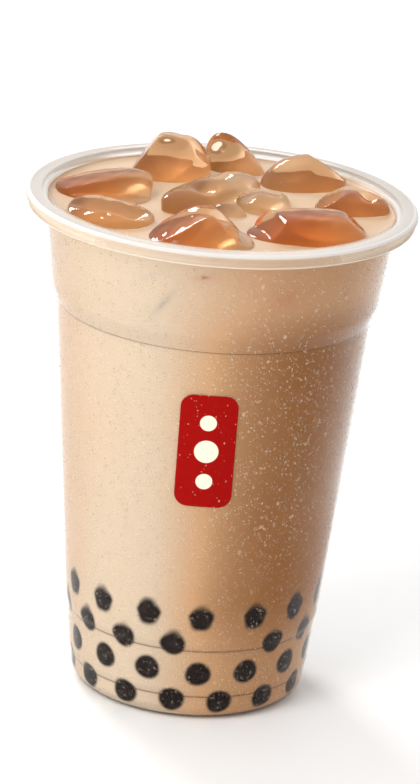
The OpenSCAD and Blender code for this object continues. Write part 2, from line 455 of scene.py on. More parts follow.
class Wire:
    """A number on its way through a material. Sums on it add Math nodes."""

    def __init__(self, finish, socket):
        self.finish = finish
        self.socket = socket

    def _math(self, operation, *values):
        inputs = dict(enumerate(values))
        return self.finish.node("ShaderNodeMath", {"operation": operation}, inputs).out()

    def __add__(self, other):
        return self._math("ADD", self, other)

    def __radd__(self, other):
        return self._math("ADD", other, self)

    def __sub__(self, other):
        return self._math("SUBTRACT", self, other)

    def __rsub__(self, other):
        return self._math("SUBTRACT", other, self)

    def __mul__(self, other):
        return self._math("MULTIPLY", self, other)

    def __rmul__(self, other):
        return self._math("MULTIPLY", other, self)

    def __truediv__(self, other):
        return self._math("DIVIDE", self, other)

    def __rtruediv__(self, other):
        return self._math("DIVIDE", other, self)

    def __pow__(self, other):
        return self._math("POWER", self, other)

    def clamp(self):
        """The number held between 0 and 1."""
        return self._math("MINIMUM", self._math("MAXIMUM", self, 0.0), 1.0)

    def above(self, low, high):
        """0 up to low, 1 from high on, and smooth between. Low may be the larger of the two."""
        t = ((self - low) / (high - low)).clamp()
        return t * t * (3.0 - 2.0 * t)

    def bump(self, middle, width):
        """1 at the middle, falling smoothly to nearly nothing at about twice the width."""
        away = (self - middle) / width
        return 1.0 / (1.0 + away * away * away * away + away * away)


class Node:
    """A shader node, whose outputs are asked for by name or number."""

    def __init__(self, finish, node):
        self.finish = finish
        self.node = node

    def out(self, key=0):
        return Wire(self.finish, self.node.outputs[key])


class Finish:
    """A material in the making."""

    def __init__(self, name):
        self.material = bpy.data.materials.new(name)
        self.material.use_nodes = True
        self.tree = self.material.node_tree
        self.tree.nodes.clear()
        self.place = self.node("ShaderNodeTexCoord").out("Object")
        split = self.node("ShaderNodeSeparateXYZ", {}, {0: self.place})
        self.x, self.y, self.z = split.out(0), split.out(1), split.out(2)

    def node(self, kind, settings=None, inputs=None):
        """A node of a kind with its settings, and the values or links of its sockets."""
        made = self.tree.nodes.new(kind)
        for key, value in (settings or {}).items():
            if key == "stops":
                ramp = made.color_ramp
                while len(ramp.elements) < len(value):
                    ramp.elements.new(1.0)
                for element, (at, colour) in zip(ramp.elements, value):
                    element.position = at
                    element.color = (*colour, 1.0)
            else:
                setattr(made, key, value)
        for key, value in (inputs or {}).items():
            if isinstance(key, str):
                socket = next(s for s in made.inputs if key in (s.identifier, s.name))
            else:
                socket = made.inputs[key]
            if isinstance(value, Wire):
                self.tree.links.new(value.socket, socket)
            elif hasattr(value, "__len__") and len(value) == 3 and socket.type == "RGBA":
                socket.default_value = (*value, 1.0)
            else:
                socket.default_value = value
        return Node(self, made)

    def noise(self, scale, detail=2.0, rough=0.5, stretch=(1.0, 1.0, 1.0)):
        """Cloudy noise from 0 to 1, with spots about 1/scale metres across."""
        at = self.node("ShaderNodeMapping", {}, {"Vector": self.place, "Scale": stretch})
        inputs = {"Vector": at.out(), "Scale": scale, "Detail": detail, "Roughness": rough}
        return self.node("ShaderNodeTexNoise", {}, inputs).out(0)

    def dots(self, scale, reach):
        """1 at each of many scattered points about 1/scale metres apart, falling to 0 round it."""
        inputs = {"Vector": self.place, "Scale": scale}
        return self.node("ShaderNodeTexVoronoi", {}, inputs).out(0).above(reach, 0.0)

    def mix(self, share, first, second):
        """One colour into another by a share."""
        inputs = {"Factor_Float": share, "A_Color": first, "B_Color": second}
        return self.node("ShaderNodeMix", {"data_type": "RGBA"}, inputs).out(2)

    def ramp(self, value, stops):
        """Colour for a value from a list of stops."""
        return self.node("ShaderNodeValToRGB", {"stops": stops}, {0: value}).out(0)

    def attribute(self, name):
        """A number kept on the piece's own points."""
        return self.node("ShaderNodeAttribute", {"attribute_name": name}).out("Fac")

    def relief(self, height, depth, strength=1.0):
        """Normal of a surface raised by a height from 0 to 1, whose full depth is in metres."""
        inputs = {"Height": height, "Distance": depth, "Strength": strength}
        return self.node("ShaderNodeBump", {}, inputs).out()

    def surface(self, **values):
        """Principled surface from its socket names, with spaces written as underscores."""
        inputs = {key.replace("_", " "): value for key, value in values.items()}
        return self.node("ShaderNodeBsdfPrincipled", {}, inputs).out()

    def blend(self, share, first, second):
        """One shader into another by a share."""
        return self.node("ShaderNodeMixShader", {}, {0: share, 1: first, 2: second}).out()

    def clear(self):
        """Nothing at all, for what is seen through."""
        return self.node("ShaderNodeBsdfTransparent", {}, {"Color": (1.0, 1.0, 1.0)}).out()

    def done(self, shader, volume=None):
        """Ends the material with its shader, and what fills it if it is clear."""
        inputs = {"Surface": shader}
        if volume is not None:
            inputs["Volume"] = volume
        self.node("ShaderNodeOutputMaterial", {}, inputs)
        return self


def cup_finish(colours):
    """Clear drawn plastic with a breath of mist, frosted white at the rolled lip, with painted
    highlight lines on the lip, painted light on its skirt and a painted sheen down one side.
    """
    f = Finish("Clear Cup")
    normal = f.node("ShaderNodeNewGeometry").out("Normal")
    up = f.node("ShaderNodeSeparateXYZ", {}, {0: normal}).out(2)
    lip = f.z.above(LIP_FROM * MM, LIP_FULL * MM)
    mist = f.noise(420.0, 3.0, 0.6)
    beads = f.dots(BEADS_PER_METRE, BEAD_REACH)
    height = 0.5 * mist + 0.5 * beads
    shape = f.relief(height * (1.0 - lip), 0.05 * MM, 0.8)
    gloss = f.node("ShaderNodeFresnel", {}, {"IOR": 1.49, "Normal": shape}).out()
    graze = f.node("ShaderNodeLayerWeight", {}, {"Blend": 0.5, "Normal": shape}).out("Facing")
    r = (f.x * f.x + f.y * f.y + 1e-9) ** 0.5
    # Painted sheen: from this side round, above the pearls, the mirror share at grazing angles is
    # raised to stand in for a rim light caught in the mist.
    thick = ((f.x * math.sin(SHEEN_SIDE) - f.y * math.cos(SHEEN_SIDE)) / r).above(0.2, 1.0)
    thick = thick * f.z.above(40 * MM, 62 * MM)
    haze = 0.012 * mist.above(0.45, 0.7) + graze ** 4.0 * (0.05 + 0.48 * thick)
    # Painted highlights: the frost is raised in thin white lines along the lip's outer top corner and
    # along the hem of its skirt.
    crown_highlight = f.z.above(124.1 * MM, 124.5 * MM) * r.above(46.2 * MM, 46.6 * MM)
    lip_edge_highlights = f.z.above(122.2 * MM, LIP_FULL * MM) + crown_highlight
    frost = lip * r.above(42.9 * MM, 43.9 * MM) * (0.20 + 0.26 * up.above(0.0, 0.9) + 0.4 * lip_edge_highlights)
    share = ((gloss - 0.035) * 0.75 + haze * (1.0 - lip) + frost).clamp()
    # Painted light: the lip's faces that do not look up, the skirt among them, are frosted warm tan,
    # standing in for lit tea seen through the skirt, though the gap behind it lies in shade.
    body = f.surface(
        Base_Color=f.mix(
            lip, (0.97, 0.97, 0.97), f.mix(up.above(0.0, 0.7), (0.92, 0.78, 0.63), tuple(colours.lip))
        ),
        Metallic=1.0 - lip,
        Roughness=0.12 + 0.10 * mist + 0.06 * lip,
        Normal=shape,
    )
    return f.done(f.blend(share, f.clear(), body))


def tea_colour_and_shade(f, colours):
    """Milky on one side and dark on the other, the dark side partly stronger tea and partly painted
    shade away from the key lamp, with slow clouds where the two have not mixed.
    """
    r = (f.x * f.x + f.y * f.y + 1e-9) ** 0.5
    # Painted shade: the share of dark tea grows towards the side away from the key lamp, partly as
    # stronger tea and partly as shade; it is held back low down and in the upper band.
    facing = (f.x * math.sin(STRONG_AND_SHADED_SIDE) - f.y * math.cos(STRONG_AND_SHADED_SIDE)) / r
    clouds = f.noise(26.0, 3.0, 0.55) - 0.5
    streaks = f.noise(60.0, 2.0, 0.5, (1.0, 1.0, 0.25)) - 0.5
    # Painted shade: a little dark tea is also put on the opposite side, from about a quarter turn left
    # of the front onwards, darkening that edge.
    strong_and_shaded = facing.above(0.28, 1.08) + 0.26 * facing.above(0.0, -0.7) + 0.20 * clouds + 0.08 * streaks
    low = f.z.above(34 * MM, 12 * MM)
    high = f.z.above(98 * MM, 112 * MM)
    strong_and_shaded = (strong_and_shaded * (1.0 - 0.30 * low) * (1.0 - 0.40 * high)).clamp()
    stops = ((0.0, tuple(colours.milk)), (0.46, tuple(colours.blend)), (1.0, tuple(colours.brew_and_shade)))
    return f.ramp(strong_and_shaded, stops)


def tea_finish(colours):
    """Milk tea behind the wall, with the pearls' dark discs coming through the last film."""
    f = Finish("Milk Tea")
    film = f.attribute("film")
    colour = tea_colour_and_shade(f, colours)
    dots = f.dots(BEADS_PER_METRE, BEAD_REACH)
    # Painted light: the tea is lightened in small dots under the mist beads, standing in for light the
    # beads catch; the same dots raise a bump.
    colour = f.mix(0.24 * dots, colour, (0.93, 0.78, 0.62))
    # Painted shade: thin dark lines on the tea at the foot of the shoulder and at the two steps, where
    # the steps of the wall in front bend the light away.
    step_shade = f.z.bump(BODY_Z * MM, 0.24 * MM) * 0.8
    step_shade = step_shade + 0.7 * f.z.bump(STEP_1_Z * MM, 0.24 * MM) + 0.7 * f.z.bump(STEP_2_Z * MM, 0.24 * MM)
    colour = f.mix(step_shade.clamp(), colour, (0.16, 0.075, 0.04))
    halo = film.above(0.18, 0.75)
    colour = f.mix(halo, colour, tuple(colours.pearl))
    body = f.surface(
        Base_Color=colour,
        Roughness=0.42 - 0.1 * f.noise(90.0),
        Specular_IOR_Level=0.08,
        Normal=f.relief(dots, 0.14 * MM, 0.6),
    )
    return f.done(body)


def streak(f, angle, z, turn, long, wide):
    """A soft streak on the wall at an angle round the cup and a height, turned from upright."""
    a, t = math.radians(angle), math.radians(turn)
    r = float(outer_r(z)) * MM
    u = f.x * math.cos(a) + f.y * math.sin(a)
    v = f.z - z * MM
    front = (f.x * math.sin(a) - f.y * math.cos(a)).above(0.0, 0.3 * r)
    along = (u * math.sin(t) + v * math.cos(t)) / (long * MM)
    across = (u * math.cos(t) - v * math.sin(t)) / (wide * MM)
    return front / (1.0 + (along * along + across * across) * 2.5) ** 2.0


def tea_top_finish(colours):
    """The open surface of the tea, and the pockets that the ice sits in."""
    f = Finish("Tea Surface")
    side = tea_colour_and_shade(f, colours)
    ripple = f.noise(55.0, 2.0, 0.5)
    top = f.mix(ripple.above(0.35, 0.7), (0.65, 0.48, 0.34), (0.58, 0.40, 0.26))
    side = f.mix(0.75 * streak(f, -17, 109.5, 38, 7.0, 1.3), side, (0.46, 0.40, 0.35))
    side = f.mix(0.6 * streak(f, -23, 115.5, 60, 5.0, 0.9), side, (0.62, 0.53, 0.45))
    side = f.mix(0.8 * streak(f, -4, 117.3, 80, 3.0, 0.9), side, (0.42, 0.15, 0.07))
    side = f.mix(0.5 * streak(f, 24, 112.0, 70, 9.0, 5.0), side, (0.62, 0.28, 0.13))
    level = f.z.above((TEA_Z - 0.6) * MM, (TEA_Z - 0.1) * MM)
    colour = f.mix(level, side, top)
    depth = f.z.above((TEA_Z - 0.3) * MM, (TEA_Z - 8.0) * MM)
    pocket = f.mix(depth, top, tuple(colours.caramel))
    colour = f.mix(f.attribute("pocket"), colour, pocket)
    body = f.surface(
        Base_Color=colour,
        Roughness=0.30,
        Specular_IOR_Level=0.3,
        Normal=f.relief(ripple, 0.25 * MM, 0.6),
    )
    return f.done(body)


def ice_finish(name, strength):
    """Clear ice steeped in tea, with a skin of melt water."""
    f = Finish(name)
    wet = f.noise(130.0, 2.0, 0.5)
    body = f.surface(
        Base_Color=(1.0, 0.94, 0.84),
        Roughness=0.03,
        IOR=1.31,
        Transmission_Weight=1.0,
        Normal=f.relief(wet, 0.26 * MM, 0.6),
    )
    amber = f.node(
        "ShaderNodeVolumeAbsorption", {}, {"Color": (0.92, 0.67, 0.34), "Density": strength}
    ).out()
    return f.done(body, amber)


def pearl_finish(colours):
    """Cooked tapioca: near black, uneven and slick."""
    f = Finish("Tapioca Pearl")
    spots = f.noise(420.0, 3.0, 0.6)
    dark = tuple(colours.pearl)
    colour = f.mix(spots.above(0.35, 0.75), dark, tuple(2.4 * c for c in dark))
    body = f.surface(
        Base_Color=colour,
        Roughness=0.25 + 0.2 * spots,
        Normal=f.relief(spots, 0.08 * MM, 0.5),
        Coat_Weight=0.5,
        Coat_Roughness=0.08,
    )
    return f.done(body)


def badge_finish(colours):
    """Red print with a column of three dots."""
    f = Finish("Badge Print")
    at = f.node("ShaderNodeAttribute", {"attribute_name": "patch"}).out("Vector")
    split = f.node("ShaderNodeSeparateXYZ", {}, {0: at})
    u, v = split.out(0), split.out(1)
    ink = None
    for middle, radius in BADGE_DOTS:
        away = (u * u + (v - middle) * (v - middle) + 1e-12) ** 0.5
        dot = away.above(radius + INK_EDGE, radius - INK_EDGE)
        ink = dot if ink is None else ink + dot
    grain = f.noise(900.0, 2.0)
    red = tuple(colours.badge)
    body = f.surface(
        Base_Color=f.mix(
            ink.clamp(), f.mix(grain, red, tuple(1.25 * c for c in red)), tuple(colours.print_ink)
        ),
        Roughness=0.35 + 0.1 * grain,
        Specular_IOR_Level=0.02,
        Normal=f.relief(grain, 0.02 * MM, 0.4),
    )
    return f.done(body)


def water_finish():
    """Beads of water on the cold wall."""
    f = Finish("Water Bead")
    edge = f.node("ShaderNodeLayerWeight", {}, {"Blend": 0.5}).out("Facing")
    clear_of_pearls = f.z.above(38 * MM, 54 * MM)
    share = (0.06 + 0.15 * clear_of_pearls + 0.12 * f.noise(300.0).above(0.35, 0.7)) * (1.15 - edge)
    body = f.surface(
        Base_Color=(0.80, 0.62, 0.45),
        Roughness=0.30 + 0.05 * f.noise(800.0),
        Specular_IOR_Level=0.25,
    )
    return f.done(f.blend(share.clamp(), f.clear(), body))


def floor_finish(colours):
    """Plain pale floor with the faintest mottle."""
    f = Finish("Pale Floor")
    shade = f.noise(8.0, 2.0)
    colour = tuple(colours.floor)
    body = f.surface(
        Base_Color=f.mix(shade, colour, tuple(0.985 * c for c in colour)),
        Roughness=0.55,
        Normal=f.relief(f.noise(300.0), 0.05 * MM, 0.2),
    )
    return f.done(body)


# ---------------------------------------------------------------- pieces


def cup_surface(columns):
    """One revolved wall from the base panel to the lip, which rolls over a hanging skirt."""
    hem = (RIM_R - SKIRT_IN - HEM_ROUND, HEM_Z + HEM_ROUND)
    roll = (SIDE_R + ROLL_ROUND, CUP_H - LIP_WALL - ROLL_ROUND)
    line = foot_line(0.0) + side_at(0.0)
    line += arc(roll, ROLL_ROUND, 180, 90)
    line += [(RIM_R - SKIRT_IN - 2 * HEM_ROUND, CUP_H - LIP_WALL)]
    line += arc(hem, HEM_ROUND, -180, 0)
    line += [(RIM_R - SKIRT_IN, CUP_H - LIP_ROUND - SKIRT_IN)]
    line += arc((RIM_R - LIP_ROUND, CUP_H - LIP_ROUND), LIP_ROUND, 0, 90)
    line += arc((SIDE_R - WALL + MOUTH_ROUND, CUP_H - MOUTH_ROUND), MOUTH_ROUND, 90, 180)
    line += side_at(WALL)[::-1] + foot_line(WALL)[::-1]
    clean = [line[0]]
    for p in line[1:]:
        if math.dist(p, clean[-1]) > 1e-4:
            clean.append(p)
    return revolved(clean, columns)


def bowl_r(z):
    """Inner radius of the wall at heights z, the foot's rounding and the steps included."""
    z = np.asarray(z, float)
    low = FOOT_R - FOOT_ROUND + np.sqrt(
        np.maximum(0, (FOOT_ROUND - WALL) ** 2 - (FOOT_ROUND - np.maximum(z, WALL)) ** 2)
    )
    zs = [FOOT_ROUND] + [p[1] for p in SIDE_LINE]
    rs = [FOOT_R - WALL] + [p[0] - WALL for p in SIDE_LINE]
    return np.where(z >= FOOT_ROUND, np.interp(z, zs, rs), low)


def pearl_reach(z):
    """Distance of a pearl's middle from the axis at height z, clear of the wall by the film."""
    b = PEARL_D / 2 + PEARL_FILM
    h = np.arange(-0.9, 0.951, 0.1) * b
    return float(np.min(bowl_r(z + h) - np.sqrt(b * b - h * h)))


def pearl_places(row):
    """Middles of one row's pearls, in millimetres: evenly round the cup, each a little astray."""
    low_z = WALL + FLOOR_ROOM + PEARL_D / 2
    low_r = pearl_reach(low_z)
    count = int(180 / math.degrees(math.asin((PEARL_D + PEARL_ROOM) / 2 / low_r)))
    step = 360 / count
    rise = math.sqrt((PEARL_D + ROW_ROOM) ** 2 - (2 * low_r * math.sin(math.radians(step / 4))) ** 2)
    aside = math.degrees(PEARL_SHIFT / low_r)
    places = []
    for i in range(count):
        if row == 3 and i == 1:
            continue
        angle = (i + (0.23 if row % 2 == 0 else -0.27)) * step
        angle += aside * math.sin(math.radians(131 * i + 77 * row))
        z = low_z + (row - 1) * rise + PEARL_SHIFT * math.sin(math.radians(89 * i + 151 * row))
        reach = pearl_reach(z)
        a = math.radians(angle)
        places.append((reach * math.sin(a), -reach * math.cos(a), z))
    return np.array(places)


def pearl_surface(middle, seed):
    """A pearl: a sphere whose radius swells and dips by low waves, so that none is quite round."""
    columns, rows = 28, 18
    a = np.linspace(0, 2 * math.pi, columns, endpoint=False)[None, :]
    e = np.linspace(-math.pi / 2, math.pi / 2, rows + 1)[1:-1, None]
    swell = 1 - 0.012 + 0.012 * np.sin(2 * a + seed) * np.cos(e) + 0.008 * np.sin(3 * e + 1.7 * seed)
    r = PEARL_D / 2 * swell
    grid = np.stack(
        [r * np.cos(e) * np.cos(a), r * np.cos(e) * np.sin(a), r * np.sin(e) + 0 * a], axis=-1
    )
    ends = [np.array([0, 0, s * PEARL_D / 2 * 0.985]) for s in (-1, 1)]
    points, faces = wrapped(grid, *ends)
    return (points + middle) * MM, faces


def pearl_film(points):
    """How much of a pearl shows through the tea at points on its side, from 0 to 1.

    The film between the wall and a pearl thickens as the pearl curves away, so the share falls
    with the distance from the line through the pearl's middle.
    """
    middles = np.vstack([pearl_places(k) for k in range(1, PEARL_ROWS + 1)]) * MM
    share = np.zeros(len(points))
    for k, middle in enumerate(middles):
        away = points - middle
        out = middle * (1, 1, 0) / np.linalg.norm(middle[:2])
        along = away @ out
        across = np.linalg.norm(away - along[:, None] * out, axis=1) / MM
        turn = np.arctan2(away[:, 2], away @ np.array([-out[1], out[0], 0]))
        wobble = 1 + 0.02 * np.sin(3 * turn + k)
        here = np.clip((4.05 * wobble - across) / 1.9, 0, 1)
        share = np.maximum(share, np.where(along > 0, here, 0))
    return share


def tea_side_surface(columns):
    """Side and bottom of the tea up to the shoulder, reaching a little into the wall."""
    t = WALL - INTO_WALL
    side = side_at(t, SPLIT_Z)
    low = [p for p in side if p[1] <= FINE_RINGS_TO]
    high = [p for p in side if p[1] > FINE_RINGS_TO]
    line = foot_line(t)[:3] + filled(foot_line(t)[3:] + low, 0.5)
    line = line + filled([line[-1]] + high, 2.5)[1:]
    line += [(0.0, SPLIT_Z)]
    return revolved(line, columns)


def tea_top_surface(columns):
    """Upper part of the tea: the band's side and the level surface, drawn up at the wall."""
    t = WALL - INTO_WALL
    side = [(float(outer_r(SPLIT_Z)) - t, SPLIT_Z)]
    side += [(r - t, z) for r, z in side_at(0.0) if z > SPLIT_Z + 1e-3]
    side = filled(side, 2.0)
    edge = SIDE_R - t
    radii = np.concatenate([edge - np.array([0.0, 0.3, 0.7, 1.2, 1.9, 3.0]), np.linspace(38, 2, 19)])
    level = [(float(r), TEA_Z + 0.55 * math.exp(-(edge - float(r)) / 0.7)) for r in radii]
    return revolved([(0.0, SPLIT_Z)] + side + level + [(0.0, TEA_Z)], columns)


def signed_power(v, n):
    """A number to a power that keeps its sign."""
    return np.sign(v) * np.abs(v) ** n


def lower_of(a, b, soft):
    """The lower of two heights, with the crease between them rounded: -k log(e^-a/k + e^-b/k)."""
    return -soft * np.logaddexp(-a / soft, -b / soft)


def ice_surface(piece, shape, grow, columns, rows, pocket=False):
    """A rounded block of ice, uneven by waves, whose waist lies at the tea's level.

    At angle a round it and e up from its waist, its plan is a superellipse of cos a and sin a,
    its side view one of cos e and sin e, and it narrows, leans and dips as its numbers say.
    Each facet is a plane that cuts its top down, each dent a bell e^-(d/reach)^2 taken off it,
    and a pocket follows the ice with its floor's depth eased from one end to the other.
    """
    middle, half, heights, turn, roundness, lean, pinch, hollow, seed = piece
    d = np.radians
    a = np.linspace(0, 360, columns, endpoint=False)[None, :]
    e = np.linspace(-90, 90, rows + 1)[:, None]
    sx, sy = half[0] + grow, half[1] + grow
    q1 = np.where(e > 0, roundness[1], max(roundness[1], ICE_FOOT_ROUND))
    wave = np.sin(d(2 * a + 57 * seed)) + 0.7 * np.sin(d(3 * a + 31 * seed + 2 * e))
    level = np.maximum(np.cos(d(e)), 0)
    across = level**q1 * (1 + ICE_LUMP * wave * level)
    up = signed_power(np.sin(d(e)), q1)
    x = signed_power(np.cos(d(a)), roundness[0]) * across
    y = signed_power(np.sin(d(a)), roundness[0]) * across * (1 - pinch * x)
    crest = ICE_LUMP * np.sin(d(150 * x + 43 * seed)) * np.sin(d(120 * y + 19 * seed)) * level
    top = np.maximum(up, 0)
    dip = hollow * top * np.exp(-((2.4 * y) ** 2)) * np.maximum(0, 1 - x**4)
    side = np.where(up > 0, up * (1 - 0.5 * pinch * x), up)
    height = np.where(up > 0, heights[0] + grow, heights[1] + grow)
    px, py = sx * (x + lean[0] * top), sy * (y + lean[1] * top)
    pz = height * side * (1 + crest) - dip
    facets, dents, ends = shape
    before, skin = pz, np.minimum(1, 2 * top)
    for height, rise_x, rise_y in facets:
        pz = np.where(top > 0, lower_of(pz, height + rise_x * px + rise_y * py, CREASE), pz)
    for dx, dy, reach, deep in dents:
        pz = pz - deep * np.exp(-((px - dx) ** 2 + (py - dy) ** 2) / reach**2) * skin
    ruffle = np.sin(0.9 * px + seed) * np.sin(1.1 * py - 0.4 * px + 2 * seed)
    pz = pz + RUFFLE * ruffle * skin
    pz = np.where(top > 0, np.maximum(pz, 0.2 * before), pz)
    if pocket:
        t = np.clip(0.5 + 0.6 * x, 0, 1)
        floor = ends[1] + (ends[0] - ends[1]) * t * t * (3 - 2 * t)
        pz = np.where(top > 0, pz, pz * floor / heights[1])
    c, s = math.cos(d(turn)), math.sin(d(turn))
    grid = np.stack([middle[0] + c * px - s * py, middle[1] + s * px + c * py, TEA_Z + pz], axis=-1)
    grid = grid * MM
    return wrapped(grid[1:-1], grid[0, 0], grid[-1, 0])


def wall_frames(angle, z):
    """Points on the outside of the cup, with the outward, sideways and upward directions."""
    r = outer_r(z)
    tilt = np.arctan((outer_r(z + 0.2) - outer_r(z - 0.2)) / 0.4)
    s, c = np.sin(angle), np.cos(angle)
    point = np.stack([r * s, -r * c, z], axis=-1)
    out = np.stack([s * np.cos(tilt), -c * np.cos(tilt), -np.sin(tilt)], axis=-1)
    side = np.stack([c, s, 0 * s], axis=-1)
    return point, out, side, np.cross(out, side)


def beads(angle, z, radius, columns, rings, stretch, sink):
    """Drops on the wall: each a dome of rings whose radius is cos t and height sin t.

    The foot of the dome is sunk into the wall by a share of its radius.
    """
    point, out, side, up = wall_frames(angle, z)
    count = len(radius)
    a = np.linspace(0, 2 * math.pi, columns, endpoint=False)
    t = np.linspace(0, math.pi / 2, rings + 1)[:-1]
    wide = np.concatenate([np.cos(t), [0.0]])
    tall = np.concatenate([DROP_RISE * np.sin(t) - sink, [DROP_RISE - sink]])
    ring = wide[:-1, None, None] * np.stack([np.cos(a), np.sin(a)], axis=-1)[None]
    u, v = ring[..., 0].ravel(), ring[..., 1].ravel()
    h = np.repeat(tall[:-1], columns)
    u, v, h = np.append(u, 0.0), np.append(v, 0.0), np.append(h, tall[-1])
    scale = radius[:, None, None]
    points = point[:, None] + scale * (
        u[None, :, None] * side[:, None]
        + stretch[:, None, None] * v[None, :, None] * up[:, None]
        + h[None, :, None] * out[:, None]
    )
    k = np.arange(columns)
    n = np.roll(k, -1)
    one = [list(k[::-1])]
    for row in range(rings - 1):
        b = row * columns
        one += np.column_stack([b + k, b + n, b + columns + n, b + columns + k]).tolist()
    b = (rings - 1) * columns
    one += np.column_stack([b + k, b + n, np.full(columns, rings * columns)]).tolist()
    per = rings * columns + 1
    faces = [[i + start for i in face] for start in range(0, per * count, per) for face in one]
    return points.reshape(-1, 3) * MM, faces


def scattered(count, rng, dense):
    """Angles and heights over the cup's side, kept where a random share is under the density."""
    angle, z = np.empty(0), np.empty(0)
    while len(angle) < count:
        a, h = rng.uniform(-math.pi, math.pi, 4 * count), rng.uniform(2.5, 119.5, 4 * count)
        keep = rng.uniform(size=4 * count) < dense(a, h) * outer_r(h) / SIDE_R
        angle, z = np.append(angle, a[keep]), np.append(z, h[keep])
    return angle[:count], z[:count]


def mist_density(angle, z):
    """Mist lies thickest on the strong side and under the shoulder, and thinnest opposite."""
    side = 0.62 + 0.34 * np.cos(angle - 0.6)
    patches = 0.5 + 0.5 * np.sin(3 * angle + 0.06 * z) * np.sin(0.11 * z - 2 * angle)
    return np.clip(side * (0.7 + 0.3 * patches), 0, 1)


def badge_surface(width, height, z, turn, corner=3.2 * MM, thick=0.12 * MM):
    """A thin plate with round corners laid on the wall.

    Its outline is a rectangle with round corners, shrunk ring by ring to the middle, and each
    point at (u, v) lies at the angle u / r round the cup and at the height z + v.
    """
    rings = 18
    w, h, c = (width / 2 - corner) / MM, (height / 2 - corner) / MM, corner / MM
    line = arc((w, h), c, 0, 90) + arc((-w, h), c, 90, 180)
    line += arc((-w, -h), c, 180, 270) + arc((w, -h), c, 270, 360)
    line = np.array(filled(line + line[:1], 0.8)[:-1]) * MM
    u, v = line[:, 0], line[:, 1]
    share = np.linspace(0, 1, rings + 1)[1:, None]
    u, v = share * u, share * v
    r = outer_r((z + v) / MM) * MM

    def laid(radius):
        """The rings rolled on to the wall at a radius."""
        angle = turn + u / r
        return np.stack([radius * np.sin(angle), -radius * np.cos(angle), z + v], axis=-1)

    middle_r = outer_r(np.array([z / MM]))[0] * MM
    ends = [
        ((middle_r + k * thick / 2) * math.sin(turn), -(middle_r + k * thick / 2) * math.cos(turn), z)
        for k in (-1, 1)
    ]
    grid = np.concatenate([laid(r - thick / 2), laid(r + thick / 2)[::-1]])
    return wrapped(grid, ends[0], ends[1])


# ---------------------------------------------------------------- operators


class DrinkStep:
    """What every step of the build shares."""

    bl_options = {"REGISTER", "UNDO"}

    def execute(self, context):
        self.build(context.scene.drink_colours, context.scene.drink_sizes)
        return {"FINISHED"}


class DRINK_OT_cup(DrinkStep, bpy.types.Operator):
    """Make the clear cup with its rolled lip"""

    bl_idname = "drink.cup"
    bl_label = "Cup"

    def build(self, colours, sizes):
        points, faces = cup_surface(sizes.round_steps)
        dressed(solid("cup_wall", points, faces, 35), cup_finish(colours), ["cup"])


class DRINK_OT_tea(DrinkStep, bpy.types.Operator):
    """Make the tea, cut round the ice at its surface"""

    bl_idname = "drink.tea"
    bl_label = "Tea"

    def build(self, colours, sizes):
        points, faces = tea_side_surface(384)
        side = solid("tea_side", points, faces, 50)
        film = side.data.attributes.new("film", "FLOAT", "POINT")
        film.data.foreach_set("value", pearl_film(points).astype(np.float32))
        dressed(side, tea_finish(colours), ["tea"])

        points, faces = tea_top_surface(128)
        top = solid("tea_top", points, faces)
        pockets = [
            ice_surface(piece, shape, -POCKET_IN, 72, 40, True)
            for piece, shape in zip(ICE, ICE_SHAPES)
        ]
        cutter = solid("pockets", *joined(pockets))
        cut = top.modifiers.new("Pockets", "BOOLEAN")
        cut.operation = "DIFFERENCE"
        cut.solver = "MANIFOLD"
        cut.object = cutter
        settled(top)
        bpy.data.objects.remove(cutter)
        if len(top.data.polygons) < FEWEST_CUT_FACES:
            raise RuntimeError("the ice pockets were not cut into the tea")
        count = len(top.data.vertices)
        points = np.zeros(count * 3, np.float32)
        top.data.vertices.foreach_get("co", points)
        points = points.reshape(-1, 3) / MM
        inner = outer_r(points[:, 2]) - np.hypot(points[:, 0], points[:, 1]) > 0.9
        pocket = inner & (points[:, 2] < TEA_Z + 0.01) & (points[:, 2] > SPLIT_Z + 1)
        layer = top.data.attributes.new("pocket", "FLOAT", "POINT")
        layer.data.foreach_set("value", pocket.astype(np.float32))
        top.data.polygons.foreach_set("use_smooth", np.ones(len(top.data.polygons), bool))
        top.data.set_sharp_from_angle(angle=math.radians(35))
        dressed(top, tea_top_finish(colours), ["tea"])


class DRINK_OT_pearls(DrinkStep, bpy.types.Operator):
    """Make the rows of tapioca pearls"""

    bl_idname = "drink.pearls"
    bl_label = "Tapioca Pearls"

    def build(self, colours, sizes):
        finish = pearl_finish(colours)
        for row in range(1, PEARL_ROWS + 1):
            parts = [pearl_surface(m, 7 * row + i) for i, m in enumerate(pearl_places(row))]
            pearls = solid(f"pearl_row_{row}", *joined(parts))
            dressed(pearls, finish, [f"pearls_{row}"])


class DRINK_OT_ice(DrinkStep, bpy.types.Operator):
    """Make the eleven pieces of ice"""

    bl_idname = "drink.ice"
    bl_label = "Ice"

    def build(self, colours, sizes):
        pale = ice_finish("Pale Tea Ice", PALE_STEEP)
        dark = ice_finish("Dark Tea Ice", DARK_STEEP)
        for k, (piece, shape) in enumerate(zip(ICE, ICE_SHAPES), 1):
            points, faces = ice_surface(piece, shape, 0.0, 120, 80)
            finish = dark if k in DARK_ICE else pale
            dressed(solid(f"ice_block_{k}", points, faces), finish, [f"ice_{k}"])


